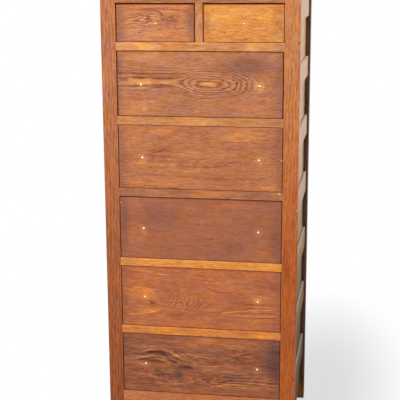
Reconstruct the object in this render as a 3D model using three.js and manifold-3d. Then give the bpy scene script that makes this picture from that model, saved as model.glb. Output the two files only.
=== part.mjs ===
// A tall narrow oak lingerie chest: four square posts, seven dovetailed drawers
// (two small ones side by side above five large ones), ladder-like sides and a plain top.
// Millimetres, +Z up. The origin is on the floor under the middle of the chest,
// and the drawers open towards -Y.
import * as THREE from "three";
import { mergeVertices } from "three/addons/utils/BufferGeometryUtils.js";
import Module from "manifold-3d";

const wasm = await Module();
wasm.setup();

// Clearances
const FIT = 0.3; // around tongues, tenons, tails and panels in their grooves
const RUN = 0.3; // under the drawer sides, where they slide
const SIDE_GAP = 1.8; // between a drawer and the posts, guides or muntin beside it
const FRONT_LIFT = 1; // between a drawer front and the rail below it
const HEADROOM = 4; // between the drawer sides and the board above them
const FRONT_SETBACK = 1; // drawer fronts lie this far behind the posts
const REAR_SPACE = 15; // between a shut drawer and the back panel

// Case
const WIDTH = 560; // across the posts
const DEPTH = 526; // front of the front posts to the back of the rear posts
const POST = 43;
const POST_EASING = 1.5;
const RAIL_HEIGHT = 24;
const RAIL_DEPTH = 43;
const MUNTIN_WIDTH = 21;
const LEG_CLEARANCE = 48; // floor to the lower edge of the sides and the bottom rail
const LOWEST_DRAWER = 205; // floor to the lowest drawer opening
const LARGE_OPENING = 185.5;
const SMALL_OPENING = 107;
const LARGE_DRAWERS = 5;
const BOTTOM_RAIL_DEPTH = 22;
const TOP_THICKNESS = 20;
const TOP_OVERHANG = 12;
const TOP_EASING = 3;

// Joints of the case
const TENON_LENGTH = 16;
const TENON_THICKNESS = 10;
const TENON_WIDTH = 22;
const TENON_SHOULDER = 15; // above and below the bottom rail's tall tenon
const STUB_TENON = 8; // ends of the muntin
const PANEL_GROOVE = 8; // how far the side boards enter the posts
const BACK_RABBET = 10; // how far the back panel laps onto the rear posts

// Sides
const SIDE_BOARD = 10;
const SIDE_BOARD_INSET = 15; // behind the outer faces of the posts
const SIDE_RAIL_INSET = 6;
const SIDE_RAIL_HEIGHT = 62;
const SIDE_TOP_RAIL = 78;
const SIDE_RAILS = 6; // below the top one
const SIDE_EASING = 1.2;

// Boards between the drawers and the strips that carry and guide
const DUSTBOARD = 10;
const TONGUE_THICKNESS = 5;
const TONGUE_LENGTH = 6;
const BOARD_HOUSING = 8; // how far the dustboards enter the strips on the sides
const BEARER_BELOW = 18;
const GUIDE_ABOVE = 46;
const CENTER_GUIDE_HEIGHT = 20;
const BACK_PANEL = 9;
const BACK_BOARDS = 5;
const BACK_SEAM = 1.5; // depth of the V between two back boards

// Drawers
const FRONT_THICKNESS = 20;
const FRONT_EASING = 0.8;
const BOX_THICKNESS = 12;
const BOTTOM_THICKNESS = 6;
const BOTTOM_RISE = 10; // side's lower edge to the drawer bottom
const BOTTOM_GROOVE = 5;
const BACK_DROP = 8; // the drawer back is this much lower than the sides
const LAP = 5; // wood left in front of the half-blind tails
const TAIL_PITCH = 34;
const PIN_WIDTH = 6; // at its narrow end
const TAIL_SLOPE = 1 / 7;
const TOP_GAPS = { 1: 3, 2: 2.2, 3: 1.4, 4: 2.4, 5: 1.4, 6: 1.4 }; // over each drawer front

// Knob screws: a small domed end in front, a round head inside
const STUD_DIAMETER = 7;
const STUD_RISE = 1.5;
const SCREW_HEAD_DIAMETER = 10;
const SCREW_HEAD_HEIGHT = 2.5;
const STUD_SPREAD = 168; // from the middle of a large drawer
const STUD_OFFSET = { x: 1.5, z: -3 }; // all were drilled a little right of and below true
const ROUND_SIDES = 16;

// Planes that pieces share
const outerX = WIDTH / 2;
const innerX = outerX - POST;
const frontY = -DEPTH / 2;
const rearY = DEPTH / 2;
const frontPostBackY = frontY + POST;
const rearPostFrontY = rearY - POST;
const railBackY = frontY + RAIL_DEPTH;
const backPanelY = rearY - BACK_RABBET;
const boardOuterX = outerX - SIDE_BOARD_INSET;
const boardInnerX = boardOuterX - SIDE_BOARD;
const sideRailX = outerX - SIDE_RAIL_INSET;

// Drawer openings from the floor up, each with the heights of its floor and ceiling
const openings = [];
let level = LOWEST_DRAWER;
for (let i = 0; i < LARGE_DRAWERS; i++) {
  openings.push({ floor: level, ceiling: level + LARGE_OPENING });
  level += LARGE_OPENING + RAIL_HEIGHT;
}
openings.push({ floor: level, ceiling: level + SMALL_OPENING });
openings.reverse();
const [smallOpening, ...largeOpenings] = openings;
const caseTop = smallOpening.ceiling + RAIL_HEIGHT;

// Shapes
function boxOf(x0, x1, y0, y1, z0, z1) {
  const box = new THREE.BoxGeometry(x1 - x0, y1 - y0, z1 - z0);
  return box.translate((x0 + x1) / 2, (y0 + y1) / 2, (z0 + z1) / 2);
}

function shapeOf(points) {
  return new THREE.Shape(points.map(([a, b]) => new THREE.Vector2(a, b)));
}

// The turned extrusions keep the face order: X takes points as (y, z) and Y as (z, x).
const alongX = new THREE.Matrix4().makeBasis(
  new THREE.Vector3(0, 1, 0),
  new THREE.Vector3(0, 0, 1),
  new THREE.Vector3(1, 0, 0),
);
const alongY = new THREE.Matrix4().makeBasis(
  new THREE.Vector3(0, 0, 1),
  new THREE.Vector3(1, 0, 0),
  new THREE.Vector3(0, 1, 0),
);

function extrude(points, from, to) {
  const options = { depth: to - from, bevelEnabled: false };
  return new THREE.ExtrudeGeometry(shapeOf(points), options).translate(0, 0, from);
}

const extrudeX = (points, x0, x1) => extrude(points, x0, x1).applyMatrix4(alongX);
const extrudeY = (points, y0, y1) => extrude(points, y0, y1).applyMatrix4(alongY);

function rectangle(a0, a1, b0, b1) {
  return [[a0, b0], [a1, b0], [a1, b1], [a0, b1]];
}

// Solids, joined and cut
function solid(geometry) {
  const bare = geometry.clone();
  bare.deleteAttribute("normal");
  bare.deleteAttribute("uv");
  const merged = mergeVertices(bare, 1e-4);
  const mesh = new wasm.Mesh({
    numProp: 3,
    vertProperties: merged.attributes.position.array,
    triVerts: new Uint32Array(merged.index.array),
  });
  return new wasm.Manifold(mesh);
}

function build(body, { join = [], cut = [] } = {}) {
  let result = solid(body);
  for (const piece of join) result = result.add(solid(piece));
  for (const piece of cut) result = result.subtract(solid(piece));
  const mesh = result.getMesh();
  const geometry = new THREE.BufferGeometry();
  const positions = new Float32Array(mesh.vertProperties);
  geometry.setAttribute("position", new THREE.BufferAttribute(positions, mesh.numProp));
  geometry.setIndex(new THREE.BufferAttribute(new Uint32Array(mesh.triVerts), 1));
  const faceted = geometry.toNonIndexed();
  faceted.computeVertexNormals();
  return faceted;
}

// Mirrored copy for the other side of the chest, with its faces turned back outwards
function mirrored(geometry) {
  const copy = geometry.clone().applyMatrix4(new THREE.Matrix4().makeScale(-1, 1, 1));
  const position = copy.getAttribute("position");
  for (let i = 0; i < position.count; i += 3) {
    const [ax, ay, az] = [position.getX(i), position.getY(i), position.getZ(i)];
    position.setXYZ(i, position.getX(i + 1), position.getY(i + 1), position.getZ(i + 1));
    position.setXYZ(i + 1, ax, ay, az);
  }
  copy.computeVertexNormals();
  return copy;
}

// Finishes
function finish(color, roughness = 0.38) {
  return new THREE.MeshStandardMaterial({ color, roughness, metalness: 0 });
}

const finishes = {
  post: finish(0xb96c3c),
  rail: finish(0xc9803f),
  side: finish(0xa9754b),
  top: finish(0xa8683a),
  inside: finish(0xb08a5e, 0.7),
  front: [0x9a6240, 0xd08a44, 0xa86a44, 0xac6640, 0x96583a, 0xb06c3e, 0x7c5038].map((c) => finish(c)),
};

const chest = new THREE.Group();

function place(name, geometry, material, parent = chest) {
  const mesh = new THREE.Mesh(geometry, material);
  mesh.name = name;
  parent.add(mesh);
}

// Case rails: a flat rail with a tenon at each end and a groove along its rear edge
const railTenonY = [frontY + (POST - TENON_WIDTH) / 2, frontY + (POST + TENON_WIDTH) / 2];

function tenonZ(bottom) {
  const middle = bottom + RAIL_HEIGHT / 2;
  return [middle - TENON_THICKNESS / 2, middle + TENON_THICKNESS / 2];
}

// Height range of the tongue of the board whose underside is at the given height
function tongueZ(underside, high) {
  const start = high ? underside + DUSTBOARD - TONGUE_THICKNESS : underside;
  return [start, start + TONGUE_THICKNESS];
}

function tongueGroove(backY, [z0, z1]) {
  return boxOf(-innerX, innerX, backY - TONGUE_LENGTH - FIT, backY + 1, z0 - FIT, z1 + FIT);
}

// Stub mortise for the muntin, seen in plan
const stubX = [-MUNTIN_WIDTH / 4, MUNTIN_WIDTH / 4];

function stubMortise(z0, z1) {
  const [y0, y1] = railTenonY;
  return boxOf(stubX[0] - FIT, stubX[1] + FIT, y0 - FIT, y1 + FIT, z0, z1);
}

function caseRail(bottom, tongue, cuts) {
  const [z0, z1] = tenonZ(bottom);
  const tenonEnd = innerX + TENON_LENGTH;
  const body = boxOf(-innerX, innerX, frontY, railBackY, bottom, bottom + RAIL_HEIGHT);
  const tenon = boxOf(-tenonEnd, tenonEnd, railTenonY[0], railTenonY[1], z0, z1);
  return build(body, { join: [tenon], cut: [tongueGroove(railBackY, tongue), ...cuts] });
}

const muntinBase = smallOpening.floor;
const muntinHead = smallOpening.ceiling;
const topRailTongue = tongueZ(muntinHead, true);
const headMortise = stubMortise(muntinHead - 1, muntinHead + STUB_TENON + FIT);
place("top_rail", caseRail(muntinHead, topRailTongue, [headMortise]), finishes.rail);

const railBottoms = openings.slice(0, -1).map((opening) => opening.floor - RAIL_HEIGHT);
railBottoms.forEach((bottom, i) => {
  const tongue = tongueZ(openings[i].floor - DUSTBOARD, false);
  const cuts = i === 0 ? [stubMortise(muntinBase - STUB_TENON - FIT, muntinBase + 1)] : [];
  place(`divider_${i + 1}`, caseRail(bottom, tongue, cuts), finishes.rail);
});

// The muntin stands between the two small drawers
const halfMuntin = MUNTIN_WIDTH / 2;
const muntinTenon = boxOf(
  stubX[0],
  stubX[1],
  railTenonY[0],
  railTenonY[1],
  muntinBase - STUB_TENON,
  muntinHead + STUB_TENON,
);
const muntinBody = boxOf(-halfMuntin, halfMuntin, frontY, railBackY, muntinBase, muntinHead);
place("muntin", build(muntinBody, { join: [muntinTenon] }), finishes.rail);

// Bottom rail: a wide board on edge, as low as the sides
const lowestFloor = LOWEST_DRAWER;
const bottomRailBackY = frontY + BOTTOM_RAIL_DEPTH;
const bottomTenonY = [
  frontY + (BOTTOM_RAIL_DEPTH - TENON_THICKNESS) / 2,
  frontY + (BOTTOM_RAIL_DEPTH + TENON_THICKNESS) / 2,
];
const bottomTenonZ = [LEG_CLEARANCE + TENON_SHOULDER, lowestFloor - TENON_SHOULDER];
const bottomTenonEnd = innerX + TENON_LENGTH;
place(
  "bottom_rail",
  build(boxOf(-innerX, innerX, frontY, bottomRailBackY, LEG_CLEARANCE, lowestFloor), {
    join: [boxOf(-bottomTenonEnd, bottomTenonEnd, ...bottomTenonY, ...bottomTenonZ)],
    cut: [tongueGroove(bottomRailBackY, tongueZ(lowestFloor - DUSTBOARD, false))],
  }),
  finishes.rail,
);

// Posts, made for the right side and mirrored for the left
function postBlank(y0, y1) {
  const e = POST_EASING;
  const plan = [
    [innerX, y0],
    [outerX - e, y0],
    [outerX, y0 + e],
    [outerX, y1 - e],
    [outerX - e, y1],
    [innerX, y1],
  ];
  return extrude(plan, 0, caseTop);
}

// A side board's groove reaches from its lower edge out through the top of the post
function boardGroove(y0, y1) {
  const z0 = LEG_CLEARANCE - FIT;
  return boxOf(boardInnerX - FIT, boardOuterX + FIT, y0, y1, z0, caseTop + 1);
}

const mortiseX = [innerX - 1, innerX + TENON_LENGTH + FIT];
const railMortises = [muntinHead, ...railBottoms].map((bottom) => {
  const [z0, z1] = tenonZ(bottom);
  return boxOf(...mortiseX, railTenonY[0] - FIT, railTenonY[1] + FIT, z0 - FIT, z1 + FIT);
});
const bottomMortise = boxOf(
  ...mortiseX,
  bottomTenonY[0] - FIT,
  bottomTenonY[1] + FIT,
  bottomTenonZ[0] - FIT,
  bottomTenonZ[1] + FIT,
);
const frontPost = build(postBlank(frontY, frontPostBackY), {
  cut: [
    ...railMortises,
    bottomMortise,
    boardGroove(frontPostBackY - PANEL_GROOVE - FIT, frontPostBackY + 1),
  ],
});
const backRabbetX = innerX + BACK_RABBET;
const rearPost = build(postBlank(rearPostFrontY, rearY), {
  cut: [
    boardGroove(rearPostFrontY - 1, rearPostFrontY + PANEL_GROOVE + FIT),
    boxOf(innerX - 1, backRabbetX, backPanelY, rearY + 1, LEG_CLEARANCE - FIT, caseTop + 1),
  ],
});
place("post_front_right", frontPost, finishes.post);
place("post_front_left", mirrored(frontPost), finishes.post);
place("post_rear_right", rearPost, finishes.post);
place("post_rear_left", mirrored(rearPost), finishes.post);

// Sides: a thin board in the posts' grooves with rails planted across it outside,
// and inside one strip for each board that lies between the drawers
const stripY = [frontPostBackY + FIT, rearPostFrontY - FIT];

function sideRail(z0, z1) {
  const e = SIDE_EASING;
  const section = [
    [z0, boardOuterX],
    [z1, boardOuterX],
    [z1, sideRailX - e],
    [z1 - e, sideRailX],
    [z0 + e, sideRailX],
    [z0, sideRailX - e],
  ];
  return extrudeY(section, ...stripY);
}

// A grooved strip: a bearer below the board's housing and a drawer guide above it
function sideStrip(underside, z0, z1) {
  const housingX = innerX + BOARD_HOUSING + FIT;
  const section = [
    [z0, innerX],
    [underside - FIT, innerX],
    [underside - FIT, housingX],
    [underside + DUSTBOARD + FIT, housingX],
    [underside + DUSTBOARD + FIT, innerX],
    [z1, innerX],
    [z1, boardInnerX],
    [z0, boardInnerX],
  ];
  return extrudeY(section, ...stripY);
}

const topRailBottom = caseTop - SIDE_TOP_RAIL;
const panelHeight = (topRailBottom - LEG_CLEARANCE - SIDE_RAILS * SIDE_RAIL_HEIGHT) / (SIDE_RAILS + 1);
const sideRails = [sideRail(topRailBottom, caseTop)];
for (let i = 1; i <= SIDE_RAILS; i++) {
  const railTop = topRailBottom - i * panelHeight - (i - 1) * SIDE_RAIL_HEIGHT;
  sideRails.push(sideRail(railTop - SIDE_RAIL_HEIGHT, railTop));
}
const boardUndersides = openings.map((opening) => opening.floor - DUSTBOARD);
const sideStrips = boardUndersides.map((underside) => {
  return sideStrip(underside, underside - BEARER_BELOW, underside + DUSTBOARD + GUIDE_ABOVE);
});
sideStrips.push(sideStrip(muntinHead, muntinHead - GUIDE_ABOVE, caseTop));
const sideBoard = boxOf(
  boardInnerX,
  boardOuterX,
  frontPostBackY - PANEL_GROOVE,
  rearPostFrontY + PANEL_GROOVE,
  LEG_CLEARANCE,
  caseTop,
);
const side = build(sideBoard, { join: [...sideRails, ...sideStrips] });
place("side_right", side, finishes.side);
place("side_left", mirrored(side), finishes.side);

// Dustboards: notched round the rear posts, housed in the side strips, tongued in front
function dustboard(underside, railY, high) {
  const housed = innerX + BOARD_HOUSING;
  const between = innerX - FIT;
  const plan = [
    [-between, railY],
    [between, railY],
    [between, stripY[0]],
    [housed, stripY[0]],
    [housed, stripY[1]],
    [between, stripY[1]],
    [between, backPanelY - FIT],
    [-between, backPanelY - FIT],
    [-between, stripY[1]],
    [-housed, stripY[1]],
    [-housed, stripY[0]],
    [-between, stripY[0]],
  ];
  const tongue = boxOf(-between, between, railY - TONGUE_LENGTH, railY + 1, ...tongueZ(underside, high));
  return build(extrude(plan, underside, underside + DUSTBOARD), { join: [tongue] });
}

boardUndersides.forEach((underside, i) => {
  const lowest = i === boardUndersides.length - 1;
  const name = lowest ? "bottom_board" : `dustboard_${i + 1}`;
  const railY = lowest ? bottomRailBackY : railBackY;
  place(name, dustboard(underside, railY, false), finishes.inside);
});
place("sub_top", dustboard(muntinHead, railBackY, true), finishes.inside);

// The guide between the small drawers lies on the uppermost dustboard behind the muntin
const centerGuide = boxOf(
  -halfMuntin,
  halfMuntin,
  railBackY,
  backPanelY - FIT,
  muntinBase,
  muntinBase + CENTER_GUIDE_HEIGHT,
);
place("center_guide", build(centerGuide), finishes.inside);

// Back panel: matched boards glued edge to edge, with a V along each seam outside
const backHalf = backRabbetX - FIT;
const backOuterY = backPanelY + BACK_PANEL;
const backPlan = [[backHalf, backPanelY], [backHalf, backOuterY]];
for (let i = 1; i < BACK_BOARDS; i++) {
  const seam = backHalf - (2 * backHalf * i) / BACK_BOARDS;
  backPlan.push([seam + BACK_SEAM, backOuterY], [seam, backOuterY - BACK_SEAM]);
  backPlan.push([seam - BACK_SEAM, backOuterY]);
}
backPlan.push([-backHalf, backOuterY], [-backHalf, backPanelY]);
place("back_panel", build(extrude(backPlan, LEG_CLEARANCE, caseTop)), finishes.inside);

// Top: one board with its upper and lower edges eased
const topShape = shapeOf(
  rectangle(
    -outerX - TOP_OVERHANG,
    outerX + TOP_OVERHANG,
    frontY - TOP_OVERHANG,
    rearY + TOP_OVERHANG,
  ),
);
const topBoard = new THREE.ExtrudeGeometry(topShape, {
  depth: TOP_THICKNESS - 2 * TOP_EASING,
  bevelThickness: TOP_EASING,
  bevelSize: TOP_EASING,
  bevelOffset: -TOP_EASING,
  bevelSegments: 3,
}).translate(0, 0, caseTop + TOP_EASING);
place("top", build(topBoard), finishes.top);

// Dovetail tails between two heights, each wider at its tip than at its base
function tailsBetween(z0, z1, length) {
  const count = Math.max(2, Math.round((z1 - z0) / TAIL_PITCH));
  const tip = (z1 - z0 - (count + 1) * PIN_WIDTH) / count;
  const flare = length * TAIL_SLOPE;
  return Array.from({ length: count }, (_, i) => {
    const low = z0 + PIN_WIDTH + i * (tip + PIN_WIDTH);
    return { tipLow: low, tipHigh: low + tip, baseLow: low + flare, baseHigh: low + tip - flare };
  });
}

// The socket that a tail fits, with the clearance all round; baseY is its open end
function tailSocket(tail, baseY, tipY, x0, x1) {
  const out = Math.sign(tipY - baseY);
  const points = [
    [baseY - out, tail.baseLow - FIT],
    [baseY, tail.baseLow - FIT],
    [tipY + out * FIT, tail.tipLow - FIT],
    [tipY + out * FIT, tail.tipHigh + FIT],
    [baseY, tail.baseHigh + FIT],
    [baseY - out, tail.baseHigh + FIT],
  ];
  return extrudeX(out > 0 ? points : points.reverse(), x0, x1);
}

// Knob screw, turned about Y: a domed end in front of y0 and a round head behind y1
function knobScrew(x, z, y0, y1) {
  const radius = STUD_DIAMETER / 2;
  const sphere = (radius * radius + STUD_RISE * STUD_RISE) / (2 * STUD_RISE);
  const dome = [0, 1, 2, 3].map((i) => {
    const r = (radius * i) / 3;
    const drop = sphere - Math.sqrt(sphere * sphere - r * r);
    return new THREE.Vector2(r, y0 - STUD_RISE + drop);
  });
  const headRadius = SCREW_HEAD_DIAMETER / 2;
  const headY = y1 + SCREW_HEAD_HEIGHT;
  const head = [
    [radius, y1],
    [headRadius, y1],
    [headRadius, headY - FRONT_EASING],
    [headRadius - FRONT_EASING, headY],
    [0, headY],
  ].map(([r, y]) => new THREE.Vector2(r, y));
  return new THREE.LatheGeometry([...dome, ...head], ROUND_SIDES).translate(x, 0, z);
}

// One drawer. Its group stands at the middle of the opening's front lower edge.
function makeDrawer(name, width, opening, topGap, studs, material) {
  const group = new THREE.Group();
  const height = opening.ceiling - opening.floor;
  const half = width / 2 - SIDE_GAP;
  const sideX = half - BOX_THICKNESS;
  const faceY = FRONT_SETBACK;
  const frontBackY = faceY + FRONT_THICKNESS;
  const tipY = faceY + LAP;
  const endY = backPanelY - frontY - REAR_SPACE;
  const backY = endY - BOX_THICKNESS;
  const sideTop = height - HEADROOM;
  const bottomZ = RUN + BOTTOM_RISE;
  const backZ = bottomZ + BOTTOM_THICKNESS;
  const backTop = sideTop - BACK_DROP;
  const frontTails = tailsBetween(RUN, sideTop, frontBackY - tipY);
  const backTails = tailsBetween(backZ, backTop, BOX_THICKNESS);

  const outline = [[frontBackY, RUN], [endY, RUN], [endY, backZ], [backY, backZ]];
  for (const t of backTails) {
    outline.push([backY, t.baseLow], [endY, t.tipLow], [endY, t.tipHigh], [backY, t.baseHigh]);
  }
  outline.push([backY, backTop], [endY, backTop], [endY, sideTop], [frontBackY, sideTop]);
  for (const t of [...frontTails].reverse()) {
    outline.push([frontBackY, t.baseHigh], [tipY, t.tipHigh]);
    outline.push([tipY, t.tipLow], [frontBackY, t.baseLow]);
  }
  const grooveX = sideX + BOTTOM_GROOVE + FIT;
  const sideGroove = boxOf(sideX - 1, grooveX, tipY - 1, endY + 1, bottomZ, backZ + FIT);
  const boxSide = build(extrudeX(outline, sideX, half), { cut: [sideGroove] });

  const frontTop = height - topGap;
  const e = FRONT_EASING;
  const face = shapeOf(rectangle(FRONT_LIFT, frontTop, -half, half));
  const easedFace = new THREE.ExtrudeGeometry(face, {
    depth: FRONT_THICKNESS / 2 - e,
    bevelThickness: e,
    bevelSize: e,
    bevelOffset: -e,
    bevelSegments: 1,
  });
  easedFace.translate(0, 0, faceY + e).applyMatrix4(alongY);
  const plainRear = boxOf(-half, half, faceY + 2 * e, frontBackY, FRONT_LIFT, frontTop);
  const sockets = frontTails.flatMap((t) => [
    tailSocket(t, frontBackY, tipY, sideX - FIT, half + 1),
    tailSocket(t, frontBackY, tipY, -half - 1, -sideX + FIT),
  ]);
  const bottomGroove = boxOf(
    -grooveX,
    grooveX,
    frontBackY - BOTTOM_GROOVE - FIT,
    frontBackY + 1,
    bottomZ,
    backZ + FIT,
  );
  const screwZ = height / 2 + STUD_OFFSET.z;
  const screws = studs.map((x) => knobScrew(x + STUD_OFFSET.x, screwZ, faceY, frontBackY));
  const front = build(easedFace, {
    join: [plainRear, ...screws],
    cut: [...sockets, bottomGroove],
  });

  const backSockets = backTails.flatMap((t) => [
    tailSocket(t, backY, endY, sideX - FIT, half + 1),
    tailSocket(t, backY, endY, -half - 1, -sideX + FIT),
  ]);
  const back = build(boxOf(-half, half, backY, endY, backZ, backTop), { cut: backSockets });

  const bottomX = sideX + BOTTOM_GROOVE;
  const bottomFrontY = frontBackY - BOTTOM_GROOVE;
  const bottom = build(boxOf(-bottomX, bottomX, bottomFrontY, endY, bottomZ, backZ));

  place(`${name}_front`, front, material, group);
  place(`${name}_side_right`, boxSide, finishes.inside, group);
  place(`${name}_side_left`, mirrored(boxSide), finishes.inside, group);
  place(`${name}_back`, back, finishes.inside, group);
  place(`${name}_bottom`, bottom, finishes.inside, group);
  return group;
}

const smallWidth = innerX - halfMuntin;
const smallCenter = halfMuntin + smallWidth / 2;
const [leftFinish, rightFinish, ...largeFinishes] = finishes.front;
const smallDrawers = [
  { name: "drawer_1_left", x: -smallCenter, material: leftFinish },
  { name: "drawer_1_right", x: smallCenter, material: rightFinish },
];
for (const { name, x, material } of smallDrawers) {
  const drawer = makeDrawer(name, smallWidth, smallOpening, TOP_GAPS[1], [0], material);
  drawer.position.set(x, frontY, smallOpening.floor);
  chest.add(drawer);
}
largeOpenings.forEach((opening, i) => {
  const row = i + 2;
  const studs = [-STUD_SPREAD, STUD_SPREAD];
  const material = largeFinishes[i];
  const drawer = makeDrawer(`drawer_${row}`, 2 * innerX, opening, TOP_GAPS[row], studs, material);
  drawer.position.set(0, frontY, opening.floor);
  chest.add(drawer);
});

export default chest;
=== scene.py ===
import math

import bmesh
import bpy
from mathutils import Matrix, Vector


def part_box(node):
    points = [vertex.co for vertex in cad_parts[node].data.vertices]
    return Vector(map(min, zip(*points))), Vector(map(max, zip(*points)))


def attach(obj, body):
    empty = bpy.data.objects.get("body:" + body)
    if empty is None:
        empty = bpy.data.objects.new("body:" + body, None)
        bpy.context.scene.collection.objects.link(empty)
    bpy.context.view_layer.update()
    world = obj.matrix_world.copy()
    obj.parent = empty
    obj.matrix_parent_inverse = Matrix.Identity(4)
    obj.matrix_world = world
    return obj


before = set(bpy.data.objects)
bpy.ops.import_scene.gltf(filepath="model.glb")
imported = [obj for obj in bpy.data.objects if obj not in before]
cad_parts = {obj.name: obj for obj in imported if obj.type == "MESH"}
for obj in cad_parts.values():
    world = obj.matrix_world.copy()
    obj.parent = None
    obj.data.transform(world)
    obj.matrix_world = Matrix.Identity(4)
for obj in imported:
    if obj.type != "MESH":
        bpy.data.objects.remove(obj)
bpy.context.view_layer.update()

MM = 0.001

# The camera, worked out from the chest's straight edges in the photograph. Angles in degrees
IMAGE_SIZE = 400
SENSOR = 36.0
FOCAL_PIXELS = 996.2
CAMERA_PLACE = (0.4616, -3.0111, 1.4411)
CAMERA_PITCH = 12.863
CAMERA_YAW = 9.518
CAMERA_ROLL = -0.283
CAMERA_CLIP = (0.1, 50)


def srgb(red, green, blue):
    """A colour as the eye reads it, 0 to 255, turned into the linear light that shaders take."""
    def linear(value):
        share = value / 255
        return share / 12.92 if share <= 0.04045 else ((share + 0.055) / 1.055) ** 2.4
    return (linear(red), linear(green), linear(blue), 1.0)


class Graph:
    """A node tree. Each short method adds one node and returns its output socket."""

    def __init__(self, tree):
        self.tree = tree
        self.tree.nodes.clear()

    def feed(self, value, socket):
        if isinstance(value, bpy.types.NodeSocket):
            self.tree.links.new(value, socket)
        else:
            socket.default_value = value

    def node(self, kind, inputs=(), **settings):
        """A new node. Its inputs, by name or number, are values or other nodes' sockets."""
        made = self.tree.nodes.new(kind)
        for key, value in settings.items():
            setattr(made, key, value)
        for key, value in dict(inputs).items():
            self.feed(value, made.inputs[key])
        return made

    def math(self, operation, *values):
        return self.node("ShaderNodeMath", enumerate(values), operation=operation).outputs[0]

    def chain(self, operation, first, *rest):
        for value in rest:
            first = self.math(operation, first, value)
        return first

    def total(self, *values):
        return self.chain("ADD", *values)

    def times(self, *values):
        return self.chain("MULTIPLY", *values)

    def most(self, *values):
        return self.chain("MAXIMUM", *values)

    def minus(self, first, second):
        return self.math("SUBTRACT", first, second)

    def swing(self, unit, size):
        """Turns noise from 0 to 1 into a swing of this size about zero."""
        return self.math("MULTIPLY", self.minus(unit, 0.5), size)

    def pick(self, factor, first, second):
        """The first value where the factor is 0, the second where it is 1."""
        return self.total(first, self.times(factor, self.minus(second, first)))

    def vector(self, operation, *values):
        made = self.node("ShaderNodeVectorMath", enumerate(values), operation=operation)
        return made.outputs["Vector"]

    def length(self, x, y):
        made = self.node("ShaderNodeVectorMath", {0: self.join(x, y, 0.0)}, operation="LENGTH")
        return made.outputs["Value"]

    def away(self, x, y, middle, radii=(1, 1)):
        """How far a point lies from the middle of an ellipse, in shares of its radii."""
        right = self.math("DIVIDE", self.minus(x, middle[0]), radii[0])
        up = self.math("DIVIDE", self.minus(y, middle[1]), radii[1])
        return self.length(right, up)

    def split(self, vector):
        return list(self.node("ShaderNodeSeparateXYZ", {0: vector}).outputs)

    def join(self, x, y, z):
        return self.node("ShaderNodeCombineXYZ", enumerate((x, y, z))).outputs[0]

    def noise(self, vector, waves, detail=2.0, roughness=0.5, distortion=0.0):
        """Smooth noise from 0 to 1, with its own number of waves per metre along each axis."""
        made = self.node("ShaderNodeTexNoise", {
            "Vector": self.vector("MULTIPLY", vector, waves),
            "Scale": 1.0,
            "Detail": detail,
            "Roughness": roughness,
            "Distortion": distortion,
        })
        return made.outputs["Fac"]

    def smooth(self, value, start, end, low=0.0, high=1.0):
        """Low before start and high after end, with a soft step between them."""
        inputs = enumerate((value, start, end, low, high))
        return self.node("ShaderNodeMapRange", inputs, interpolation_type="SMOOTHSTEP").outputs[0]

    def curve(self, share, points):
        """A smooth curve through points (share, height), both from 0 to 1."""
        made = self.node("ShaderNodeFloatCurve", {"Value": share})
        line = made.mapping.curves[0]
        while len(line.points) < len(points):
            line.points.new(0.5, 0.5)
        for point, place in zip(line.points, points):
            point.location = place
        made.mapping.update()
        return made.outputs[0]

    def ramp(self, value, places, tones):
        """Tones that blend into each other, each at its place from 0 to 1."""
        made = self.node("ShaderNodeValToRGB", {0: value})
        elements = made.color_ramp.elements
        while len(elements) < len(tones):
            elements.new(0.5)
        for element, place, tone in zip(elements, places, tones):
            element.position = place
            element.color = srgb(*tone)
        return made.outputs["Color"]

    def blend(self, mode, factor, first, second):
        made = self.node("ShaderNodeMix", {0: factor}, data_type="RGBA", blend_type=mode)
        sockets = [socket for socket in made.inputs if socket.type == "RGBA"]
        self.feed(first, sockets[0])
        self.feed(second, sockets[1])
        return next(socket for socket in made.outputs if socket.type == "RGBA")

    def tint(self, color, amount, tint):
        """The colour multiplied by a tint where the amount is 1."""
        return self.blend("MULTIPLY", amount, color, (*tint, 1))


def new_material(name):
    material = bpy.data.materials.new(name)
    material.use_nodes = True
    return material, Graph(material.node_tree)


def finish_surface(g, shader, height, strength, depth):
    """Gives a shader its relief and makes it the material's surface."""
    bump = g.node("ShaderNodeBump", {"Strength": strength, "Distance": depth, "Height": height})
    g.feed(bump.outputs[0], shader.inputs["Normal"])
    g.node("ShaderNodeOutputMaterial", {"Surface": shader.outputs[0]})


def add_object(name, data):
    made = bpy.data.objects.new(name, data)
    bpy.context.scene.collection.objects.link(made)
    return made


def add_solid(name, shape):
    """An object with the mesh built in a bmesh."""
    mesh = bpy.data.meshes.new(name)
    shape.to_mesh(mesh)
    shape.free()
    return add_object(name, mesh)


def shade(solid, smooth):
    for face in solid.data.polygons:
        face.use_smooth = smooth


# Oak. Sizes are in millimetres from the middle of the board's face, colours as the eye reads them.
# Which axes run along, across and into a board that stands or, with "flat", lies on its back
GRAIN_AXES = {"X": (0, 2, 1), "Y": (1, 2, 0), "Z": (2, 0, 1), "flat": (0, 1, 2)}

GOLD = (1.22, 1.26, 1.00)
HONEY = (1.06, 1.16, 0.84)
ORANGE = (1.20, 1.12, 0.98)
RED = (0.92, 0.76, 0.84)
ROSE = (1.34, 1.24, 1.18)
# Mauve and slate patches at the ends of fronts and dividers are partly painted cool reflection, partly
# the wood's own tone
MAUVE = (0.82, 0.83, 0.96)
UMBER = (0.64, 0.63, 0.72)
SLATE = (0.56, 0.70, 1.00)
SEPIA = (0.66, 0.56, 0.46)
PLUM = (0.52, 0.45, 0.64)
OLIVE = (1.34, 1.62, 1.10)
PALE = (1.16, 1.14, 1.12)
BRIGHT = (1.32, 1.52, 1.38)

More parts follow.
